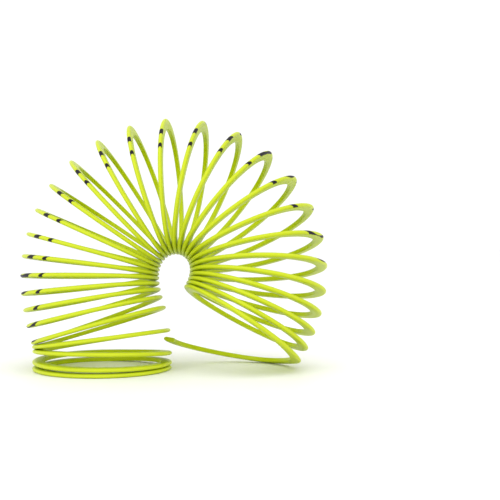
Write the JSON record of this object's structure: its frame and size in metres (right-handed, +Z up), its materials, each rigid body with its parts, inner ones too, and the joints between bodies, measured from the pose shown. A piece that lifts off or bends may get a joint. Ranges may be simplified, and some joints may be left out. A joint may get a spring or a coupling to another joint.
{
  "type": "spring coil toy",
  "caption": "Moulded plastic coil of flat wire that stands bent over as an arch; it closes to a stack and stretches to a long helix.",
  "frame": {"origin": "on the table, under the middle of the standing arch", "axes": "+X from the foot turns towards the free end, -Y towards the viewer, +Z up"},
  "size_m": [0.1446, 0.0756, 0.1181],
  "materials": {
    "lime_plastic": "glossy moulded plastic, lime green"
  },
  "bodies": {
    "foot_ring": {"foot_ring": "lime_plastic"},
    "lean_ring": {"lean_ring": "lime_plastic"},
    "coil_03_back": {"coil_03_back": "lime_plastic"},
    "coil_04_front": {"coil_04_front": "lime_plastic"},
    "coil_04_back": {"coil_04_back": "lime_plastic"},
    "coil_05_front": {"coil_05_front": "lime_plastic"},
    "coil_05_back": {"coil_05_back": "lime_plastic"},
    "coil_06_front": {"coil_06_front": "lime_plastic"},
    "coil_06_back": {"coil_06_back": "lime_plastic"},
    "coil_07_front": {"coil_07_front": "lime_plastic"},
    "coil_07_back": {"coil_07_back": "lime_plastic"},
    "coil_08_front": {"coil_08_front": "lime_plastic"},
    "coil_08_back": {"coil_08_back": "lime_plastic"},
    "coil_09_front": {"coil_09_front": "lime_plastic"},
    "coil_09_back": {"coil_09_back": "lime_plastic"},
    "coil_10_front": {"coil_10_front": "lime_plastic"},
    "coil_10_back": {"coil_10_back": "lime_plastic"},
    "coil_11_front": {"coil_11_front": "lime_plastic"},
    "coil_11_back": {"coil_11_back": "lime_plastic"},
    "coil_12_front": {"coil_12_front": "lime_plastic"},
    "coil_12_back": {"coil_12_back": "lime_plastic"},
    "coil_13_front": {"coil_13_front": "lime_plastic"},
    "coil_13_back": {"coil_13_back": "lime_plastic"},
    "coil_14_front": {"coil_14_front": "lime_plastic"},
    "coil_14_back": {"coil_14_back": "lime_plastic"},
    "coil_15_front": {"coil_15_front": "lime_plastic"},
    "coil_15_back": {"coil_15_back": "lime_plastic"},
    "coil_16_front": {"coil_16_front": "lime_plastic"},
    "coil_16_back": {"coil_16_back": "lime_plastic"},
    "coil_17_front": {"coil_17_front": "lime_plastic"},
    "coil_17_back": {"coil_17_back": "lime_plastic"},
    "coil_18_front": {"coil_18_front": "lime_plastic"},
    "coil_18_back": {"coil_18_back": "lime_plastic"},
    "coil_19_front": {"coil_19_front": "lime_plastic"},
    "coil_19_back": {"coil_19_back": "lime_plastic"},
    "coil_20_front": {"coil_20_front": "lime_plastic"},
    "coil_20_back": {"coil_20_back": "lime_plastic"},
    "coil_21_front": {"coil_21_front": "lime_plastic"},
    "coil_21_back": {"coil_21_back": "lime_plastic"},
    "coil_22_front": {"coil_22_front": "lime_plastic"},
    "coil_22_back": {"coil_22_back": "lime_plastic"},
    "coil_23_front": {"coil_23_front": "lime_plastic"},
    "coil_23_back": {"coil_23_back": "lime_plastic"},
    "coil_24_front": {"coil_24_front": "lime_plastic"},
    "coil_24_back": {"coil_24_back": "lime_plastic"},
    "coil_25_front": {"coil_25_front": "lime_plastic"},
    "coil_25_back": {"coil_25_back": "lime_plastic"},
    "coil_26_front": {"coil_26_front": "lime_plastic"},
    "coil_26_back": {"coil_26_back": "lime_plastic"},
    "coil_27_front": {"coil_27_front": "lime_plastic"},
    "coil_27_back": {"coil_27_back": "lime_plastic"},
    "coil_28_front": {"coil_28_front": "lime_plastic"},
    "coil_28_back": {"coil_28_back": "lime_plastic"},
    "coil_29_front": {"coil_29_front": "lime_plastic"},
    "coil_29_back": {"coil_29_back": "lime_plastic"}
  },
  "joints": [
    {"name": "lean_ring_twist", "type": "hinge", "parent": "foot_ring", "child": "lean_ring", "pos_m": [-0.03348, 0.02657, 0.00441], "axis": [-1, 0, 0], "range_deg": [-4.5, 0], "stiffness_Nm_per_rad": 0.71, "springref_deg": 0.94},
    {"name": "coil_03_back_twist", "type": "hinge", "parent": "lean_ring", "child": "coil_03_back", "pos_m": [-0.06438, -0.00411, 0.00837], "axis": [0, -0.989, 0.1478], "range_deg": [-8, 0], "stiffness_Nm_per_rad": 0.99, "springref_deg": 0.42},
    {"name": "coil_04_front_twist", "type": "hinge", "parent": "coil_03_back", "child": "coil_04_front", "pos_m": [-0.00332, -0.00276, 0.01789], "axis": [0, 0.989, -0.1478], "range_deg": [0, 3]},
    {"name": "coil_04_back_twist", "type": "hinge", "parent": "coil_04_front", "child": "coil_04_back", "pos_m": [-0.06466, -0.00395, 0.01039], "axis": [0, -0.989, 0.1478], "range_deg": [-8.17, 0], "stiffness_Nm_per_rad": 0.96, "springref_deg": 0.4},
    {"name": "coil_05_front_twist", "type": "hinge", "parent": "coil_04_back", "child": "coil_05_front", "pos_m": [-0.00559, -0.00134, 0.0284], "axis": [0, 0.989, -0.1478], "range_deg": [0, 3]},
    {"name": "coil_05_back_twist", "type": "hinge", "parent": "coil_05_front", "child": "coil_05_back", "pos_m": [-0.06523, -0.0038, 0.01236], "axis": [0, -0.989, 0.1478], "range_deg": [-2.9, 0], "stiffness_Nm_per_rad": 0.94, "springref_deg": 0.38},
    {"name": "coil_06_front_twist", "type": "hinge", "parent": "coil_05_back", "child": "coil_06_front", "pos_m": [-0.00716, -0.00075, 0.03329], "axis": [0, 0.989, -0.1478], "range_deg": [-5.58, 0], "stiffness_Nm_per_rad": 0.29, "springref_deg": 1.52},
    {"name": "coil_06_back_twist", "type": "hinge", "parent": "coil_06_front", "child": "coil_06_back", "pos_m": [-0.06749, -0.0028, 0.02003], "axis": [0, -0.989, 0.1478], "range_deg": [-1.61, 0], "stiffness_Nm_per_rad": 0.9, "springref_deg": 0.4},
    {"name": "coil_07_front_twist", "type": "hinge", "parent": "coil_06_back", "child": "coil_07_front", "pos_m": [-0.00809, -0.00035, 0.03694], "axis": [0, 0.989, -0.1478], "range_deg": [-5.09, 0], "stiffness_Nm_per_rad": 0.26, "springref_deg": 1.52},
    {"name": "coil_07_back_twist", "type": "hinge", "parent": "coil_07_front", "child": "coil_07_back", "pos_m": [-0.06913, -0.00186, 0.02732], "axis": [0, -0.989, 0.1478], "range_deg": [-0.895, 0], "stiffness_Nm_per_rad": 0.87, "springref_deg": 0.4},
    {"name": "coil_08_front_twist", "type": "hinge", "parent": "coil_07_back", "child": "coil_08_front", "pos_m": [-0.00864, -0.00005, 0.03989], "axis": [0, 0.989, -0.1478], "range_deg": [-5.31, 0], "stiffness_Nm_per_rad": 0.24, "springref_deg": 1.48},
    {"name": "coil_08_back_twist", "type": "hinge", "parent": "coil_08_front", "child": "coil_08_back", "pos_m": [-0.07024, -0.00086, 0.03494], "axis": [0, -0.989, 0.1478], "range_deg": [-0.497, 0], "stiffness_Nm_per_rad": 0.84, "springref_deg": 0.39},
    {"name": "coil_09_front_twist", "type": "hinge", "parent": "coil_08_back", "child": "coil_09_front", "pos_m": [-0.0089, 0.00019, 0.04245], "axis": [0, 0.989, -0.1478], "range_deg": [-5.98, 0], "stiffness_Nm_per_rad": 0.23, "springref_deg": 1.39},
    {"name": "coil_09_back_twist", "type": "hinge", "parent": "coil_09_front", "child": "coil_09_back", "pos_m": [-0.0707, 0.00025, 0.04334], "axis": [0, -0.989, 0.1478], "range_deg": [0, 6.67]},
    {"name": "coil_10_front_twist", "type": "hinge", "parent": "coil_09_back", "child": "coil_10_front", "pos_m": [-0.0089, 0.00035, 0.04449], "axis": [0, 0.989, -0.1478], "range_deg": [-6.67, 0], "stiffness_Nm_per_rad": 0.23, "springref_deg": 1.24},
    {"name": "coil_10_back_twist", "type": "hinge", "parent": "coil_10_front", "child": "coil_10_back", "pos_m": [-0.07018, 0.00147, 0.05248], "axis": [0, -0.989, 0.1478], "range_deg": [0, 7.93]},
    {"name": "coil_11_front_twist", "type": "hinge", "parent": "coil_10_back", "child": "coil_11_front", "pos_m": [-0.00867, 0.00051, 0.04652], "axis": [0, 0.989, -0.1478], "range_deg": [-7.93, 0], "stiffness_Nm_per_rad": 0.23, "springref_deg": 1.1},
    {"name": "coil_11_back_twist", "type": "hinge", "parent": "coil_11_front", "child": "coil_11_back", "pos_m": [-0.06825, 0.00286, 0.06279], "axis": [0, -0.989, 0.1478], "range_deg": [0, 9.23]},
    {"name": "coil_12_front_twist", "type": "hinge", "parent": "coil_11_back", "child": "coil_12_front", "pos_m": [-0.00816, 0.00066, 0.0485], "axis": [0, 0.989, -0.1478], "range_deg": [-9.23, 0], "stiffness_Nm_per_rad": 0.22, "springref_deg": 1.02},
    {"name": "coil_12_back_twist", "type": "hinge", "parent": "coil_12_front", "child": "coil_12_back", "pos_m": [-0.06433, 0.0044, 0.07401], "axis": [0, -0.989, 0.1478], "range_deg": [0, 10.52]},
    {"name": "coil_13_front_twist", "type": "hinge", "parent": "coil_12_back", "child": "coil_13_front", "pos_m": [-0.00734, 0.00079, 0.05037], "axis": [0, 0.989, -0.1478], "range_deg": [-10.52, 0], "stiffness_Nm_per_rad": 0.22, "springref_deg": 0.9},
    {"name": "coil_13_back_twist", "type": "hinge", "parent": "coil_13_front", "child": "coil_13_back", "pos_m": [-0.05786, 0.00598, 0.0856], "axis": [0, -0.989, 0.1478], "range_deg": [0, 11.72]},
    {"name": "coil_14_front_twist", "type": "hinge", "parent": "coil_13_back", "child": "coil_14_front", "pos_m": [-0.00619, 0.0009, 0.05207], "axis": [0, 0.989, -0.1478], "range_deg": [-11.72, 0], "stiffness_Nm_per_rad": 0.22, "springref_deg": 0.8},
    {"name": "coil_14_back_twist", "type": "hinge", "parent": "coil_14_front", "child": "coil_14_back", "pos_m": [-0.04842, 0.0075, 0.09671], "axis": [0, -0.989, 0.1478], "range_deg": [0, 12.78]},
    {"name": "coil_15_front_twist", "type": "hinge", "parent": "coil_14_back", "child": "coil_15_front", "pos_m": [-0.00472, 0.00097, 0.0535], "axis": [0, 0.989, -0.1478], "range_deg": [-12.78, 0], "stiffness_Nm_per_rad": 0.21, "springref_deg": 0.76},
    {"name": "coil_15_back_twist", "type": "hinge", "parent": "coil_15_front", "child": "coil_15_back", "pos_m": [-0.03592, 0.00878, 0.10627], "axis": [0, -0.989, 0.1478], "range_deg": [0, 13.64]},
    {"name": "coil_16_front_twist", "type": "hinge", "parent": "coil_15_back", "child": "coil_16_front", "pos_m": [-0.00297, 0.00098, 0.05457], "axis": [0, 0.989, -0.1478], "range_deg": [-13.64, 0], "stiffness_Nm_per_rad": 0.2, "springref_deg": 0.73},
    {"name": "coil_16_back_twist", "type": "hinge", "parent": "coil_16_front", "child": "coil_16_back", "pos_m": [-0.02071, 0.00967, 0.11313], "axis": [0, -0.989, 0.1478], "range_deg": [0, 14.25]},
    {"name": "coil_17_front_twist", "type": "hinge", "parent": "coil_16_back", "child": "coil_17_front", "pos_m": [-0.00102, 0.00093, 0.0552], "axis": [0, 0.989, -0.1478], "range_deg": [-14.25, 0], "stiffness_Nm_per_rad": 0.2, "springref_deg": 0.7},
    {"name": "coil_17_back_twist", "type": "hinge", "parent": "coil_17_front", "child": "coil_17_back", "pos_m": [-0.00364, 0.00999, 0.11628], "axis": [0, -0.989, 0.1478], "range_deg": [0, 14.56]},
    {"name": "coil_18_front_twist", "type": "hinge", "parent": "coil_17_back", "child": "coil_18_front", "pos_m": [0.00102, 0.00081, 0.05534], "axis": [0, 0.989, -0.1478], "range_deg": [-14.56, 0], "stiffness_Nm_per_rad": 0.19, "springref_deg": 0.74},
    {"name": "coil_18_back_twist", "type": "hinge", "parent": "coil_18_front", "child": "coil_18_back", "pos_m": [0.01401, 0.00967, 0.11512], "axis": [0, -0.989, 0.1478], "range_deg": [0, 14.56]},
    {"name": "coil_19_front_twist", "type": "hinge", "parent": "coil_18_back", "child": "coil_19_front", "pos_m": [0.00303, 0.00061, 0.05497], "axis": [0, 0.989, -0.1478], "range_deg": [-14.56, 0], "stiffness_Nm_per_rad": 0.17, "springref_deg": 0.87},
    {"name": "coil_19_back_twist", "type": "hinge", "parent": "coil_19_front", "child": "coil_19_back", "pos_m": [0.03079, 0.0087, 0.1096], "axis": [0, -0.989, 0.1478], "range_deg": [0, 14.25]},
    {"name": "coil_20_front_twist", "type": "hinge", "parent": "coil_19_back", "child": "coil_20_front", "pos_m": [0.00487, 0.00034, 0.05411], "axis": [0, 0.989, -0.1478], "range_deg": [-14.25, 0], "stiffness_Nm_per_rad": 0.16, "springref_deg": 1},
    {"name": "coil_20_back_twist", "type": "hinge", "parent": "coil_20_front", "child": "coil_20_back", "pos_m": [0.04537, 0.00717, 0.1003], "axis": [0, -0.989, 0.1478], "range_deg": [0, 13.64]},
    {"name": "coil_21_front_twist", "type": "hinge", "parent": "coil_20_back", "child": "coil_21_front", "pos_m": [0.00644, 0, 0.05283], "axis": [0, 0.989, -0.1478], "range_deg": [-13.64, 0], "stiffness_Nm_per_rad": 0.15, "springref_deg": 1.19},
    {"name": "coil_21_back_twist", "type": "hinge", "parent": "coil_21_front", "child": "coil_21_back", "pos_m": [0.0568, 0.00523, 0.08827], "axis": [0, -0.989, 0.1478], "range_deg": [0, 12.78]},
    {"name": "coil_22_front_twist", "type": "hinge", "parent": "coil_21_back", "child": "coil_22_front", "pos_m": [0.00765, -0.00038, 0.05122], "axis": [0, 0.989, -0.1478], "range_deg": [-12.78, 0], "stiffness_Nm_per_rad": 0.13, "springref_deg": 1.55},
    {"name": "coil_22_back_twist", "type": "hinge", "parent": "coil_22_front", "child": "coil_22_back", "pos_m": [0.0647, 0.00307, 0.07477], "axis": [0, -0.989, 0.1478], "range_deg": [0, 11.72]},
    {"name": "coil_23_front_twist", "type": "hinge", "parent": "coil_22_back", "child": "coil_23_front", "pos_m": [0.00847, -0.0008, 0.04939], "axis": [0, 0.989, -0.1478], "range_deg": [-11.72, 0], "stiffness_Nm_per_rad": 0.15, "springref_deg": 1.53},
    {"name": "coil_23_back_twist", "type": "hinge", "parent": "coil_23_front", "child": "coil_23_back", "pos_m": [0.06916, 0.00086, 0.06098], "axis": [0, -0.989, 0.1478], "range_deg": [0, 10.52]},
    {"name": "coil_24_front_twist", "type": "hinge", "parent": "coil_23_back", "child": "coil_24_front", "pos_m": [0.00889, -0.00124, 0.04743], "axis": [0, 0.989, -0.1478], "range_deg": [-10.52, 0], "stiffness_Nm_per_rad": 0.17, "springref_deg": 1.54},
    {"name": "coil_24_back_twist", "type": "hinge", "parent": "coil_24_front", "child": "coil_24_back", "pos_m": [0.07069, -0.00124, 0.04788], "axis": [0, -0.989, 0.1478], "range_deg": [0, 9.23]},
    {"name": "coil_25_front_twist", "type": "hinge", "parent": "coil_24_back", "child": "coil_25_front", "pos_m": [0.00894, -0.00168, 0.04543], "axis": [0, 0.989, -0.1478], "range_deg": [-9.23, 0], "stiffness_Nm_per_rad": 0.19, "springref_deg": 1.55},
    {"name": "coil_25_back_twist", "type": "hinge", "parent": "coil_25_front", "child": "coil_25_back", "pos_m": [0.07001, -0.00315, 0.03606], "axis": [0, -0.989, 0.1478], "range_deg": [0, 7.93]},
    {"name": "coil_26_front_twist", "type": "hinge", "parent": "coil_25_back", "child": "coil_26_front", "pos_m": [0.00866, -0.00212, 0.04345], "axis": [0, 0.989, -0.1478], "range_deg": [-7.93, 0], "stiffness_Nm_per_rad": 0.22, "springref_deg": 1.5},
    {"name": "coil_26_back_twist", "type": "hinge", "parent": "coil_26_front", "child": "coil_26_back", "pos_m": [0.06784, -0.00483, 0.02584], "axis": [0, -0.989, 0.1478], "range_deg": [0, 6.67]},
    {"name": "coil_27_front_twist", "type": "hinge", "parent": "coil_26_back", "child": "coil_27_front", "pos_m": [0.0081, -0.00255, 0.04153], "axis": [0, 0.989, -0.1478], "range_deg": [-6.67, 0], "stiffness_Nm_per_rad": 0.24, "springref_deg": 1.53},
    {"name": "coil_27_back_twist", "type": "hinge", "parent": "coil_27_front", "child": "coil_27_back", "pos_m": [0.06481, -0.00626, 0.01724], "axis": [0, -0.989, 0.1478], "range_deg": [0, 5.48]},
    {"name": "coil_28_front_twist", "type": "hinge", "parent": "coil_27_back", "child": "coil_28_front", "pos_m": [0.00732, -0.00298, 0.03968], "axis": [0, 0.989, -0.1478], "range_deg": [-5.48, 0], "stiffness_Nm_per_rad": 0.26, "springref_deg": 1.56},
    {"name": "coil_28_back_twist", "type": "hinge", "parent": "coil_28_front", "child": "coil_28_back", "pos_m": [0.06142, -0.00746, 0.01014], "axis": [0, -0.989, 0.1478], "range_deg": [0, 4.41]},
    {"name": "coil_29_front_twist", "type": "hinge", "parent": "coil_28_back", "child": "coil_29_front", "pos_m": [0.00636, -0.00338, 0.03791], "axis": [0, 0.989, -0.1478], "range_deg": [-4.41, 0], "stiffness_Nm_per_rad": 0.29, "springref_deg": 1.54},
    {"name": "coil_29_back_twist", "type": "hinge", "parent": "coil_29_front", "child": "coil_29_back", "pos_m": [0.05801, -0.00847, 0.00434], "axis": [0, -0.989, 0.1478], "range_deg": [-22, 0], "stiffness_Nm_per_rad": 0.1, "springref_deg": 1.56}
  ],
  "couplings": [
    {"joint": "lean_ring_twist", "follows": "coil_03_back_twist", "ratio": 0.56244},
    {"joint": "coil_04_front_twist", "follows": "coil_09_back_twist", "ratio": 0.45},
    {"joint": "coil_04_back_twist", "follows": "coil_03_back_twist", "ratio": 1.0212},
    {"joint": "coil_05_front_twist", "follows": "coil_09_back_twist", "ratio": 0.45},
    {"joint": "coil_05_back_twist", "follows": "coil_03_back_twist", "ratio": 0.36246},
    {"joint": "coil_06_front_twist", "follows": "coil_03_back_twist", "ratio": 0.69736},
    {"joint": "coil_06_back_twist", "follows": "coil_03_back_twist", "ratio": 0.20128},
    {"joint": "coil_07_front_twist", "follows": "coil_03_back_twist", "ratio": 0.63579},
    {"joint": "coil_07_back_twist", "follows": "coil_03_back_twist", "ratio": 0.11177},
    {"joint": "coil_08_front_twist", "follows": "coil_03_back_twist", "ratio": 0.66344},
    {"joint": "coil_08_back_twist", "follows": "coil_03_back_twist", "ratio": 0.06207},
    {"joint": "coil_09_front_twist", "follows": "coil_03_back_twist", "ratio": 0.74744},
    {"joint": "coil_10_front_twist", "follows": "coil_03_back_twist", "ratio": 0.8332},
    {"joint": "coil_10_back_twist", "follows": "coil_09_back_twist", "ratio": 1.1895},
    {"joint": "coil_11_front_twist", "follows": "coil_03_back_twist", "ratio": 0.99117},
    {"joint": "coil_11_back_twist", "follows": "coil_09_back_twist", "ratio": 1.3847},
    {"joint": "coil_12_front_twist", "follows": "coil_03_back_twist", "ratio": 1.1538},
    {"joint": "coil_12_back_twist", "follows": "coil_09_back_twist", "ratio": 1.5772},
    {"joint": "coil_13_front_twist", "follows": "coil_03_back_twist", "ratio": 1.3142},
    {"joint": "coil_13_back_twist", "follows": "coil_09_back_twist", "ratio": 1.758},
    {"joint": "coil_14_front_twist", "follows": "coil_03_back_twist", "ratio": 1.4648},
    {"joint": "coil_14_back_twist", "follows": "coil_09_back_twist", "ratio": 1.9174},
    {"joint": "coil_15_front_twist", "follows": "coil_03_back_twist", "ratio": 1.5977},
    {"joint": "coil_15_back_twist", "follows": "coil_09_back_twist", "ratio": 2.0464},
    {"joint": "coil_16_front_twist", "follows": "coil_03_back_twist", "ratio": 1.7052},
    {"joint": "coil_16_back_twist", "follows": "coil_09_back_twist", "ratio": 2.1372},
    {"joint": "coil_17_front_twist", "follows": "coil_03_back_twist", "ratio": 1.7808},
    {"joint": "coil_17_back_twist", "follows": "coil_09_back_twist", "ratio": 2.1841},
    {"joint": "coil_18_front_twist", "follows": "coil_03_back_twist", "ratio": 1.8199},
    {"joint": "coil_18_back_twist", "follows": "coil_09_back_twist", "ratio": 2.1841},
    {"joint": "coil_19_front_twist", "follows": "coil_03_back_twist", "ratio": 1.8199},
    {"joint": "coil_19_back_twist", "follows": "coil_09_back_twist", "ratio": 2.1372},
    {"joint": "coil_20_front_twist", "follows": "coil_03_back_twist", "ratio": 1.7808},
    {"joint": "coil_20_back_twist", "follows": "coil_09_back_twist", "ratio": 2.0464},
    {"joint": "coil_21_front_twist", "follows": "coil_03_back_twist", "ratio": 1.7052},
    {"joint": "coil_21_back_twist", "follows": "coil_09_back_twist", "ratio": 1.9174},
    {"joint": "coil_22_front_twist", "follows": "coil_03_back_twist", "ratio": 1.5977},
    {"joint": "coil_22_back_twist", "follows": "coil_09_back_twist", "ratio": 1.758},
    {"joint": "coil_23_front_twist", "follows": "coil_03_back_twist", "ratio": 1.4648},
    {"joint": "coil_23_back_twist", "follows": "coil_09_back_twist", "ratio": 1.5772},
    {"joint": "coil_24_front_twist", "follows": "coil_03_back_twist", "ratio": 1.3142},
    {"joint": "coil_24_back_twist", "follows": "coil_09_back_twist", "ratio": 1.3847},
    {"joint": "coil_25_front_twist", "follows": "coil_03_back_twist", "ratio": 1.1538},
    {"joint": "coil_25_back_twist", "follows": "coil_09_back_twist", "ratio": 1.1895},
    {"joint": "coil_26_front_twist", "follows": "coil_03_back_twist", "ratio": 0.99117},
    {"joint": "coil_26_back_twist", "follows": "coil_09_back_twist", "ratio": 0.99994},
    {"joint": "coil_27_front_twist", "follows": "coil_03_back_twist", "ratio": 0.8332},
    {"joint": "coil_27_back_twist", "follows": "coil_09_back_twist", "ratio": 0.82253},
    {"joint": "coil_28_front_twist", "follows": "coil_03_back_twist", "ratio": 0.68537},
    {"joint": "coil_28_back_twist", "follows": "coil_09_back_twist", "ratio": 0.66207},
    {"joint": "coil_29_front_twist", "follows": "coil_03_back_twist", "ratio": 0.55167},
    {"joint": "coil_29_back_twist", "follows": "coil_03_back_twist", "ratio": 2.7497}
  ]
}
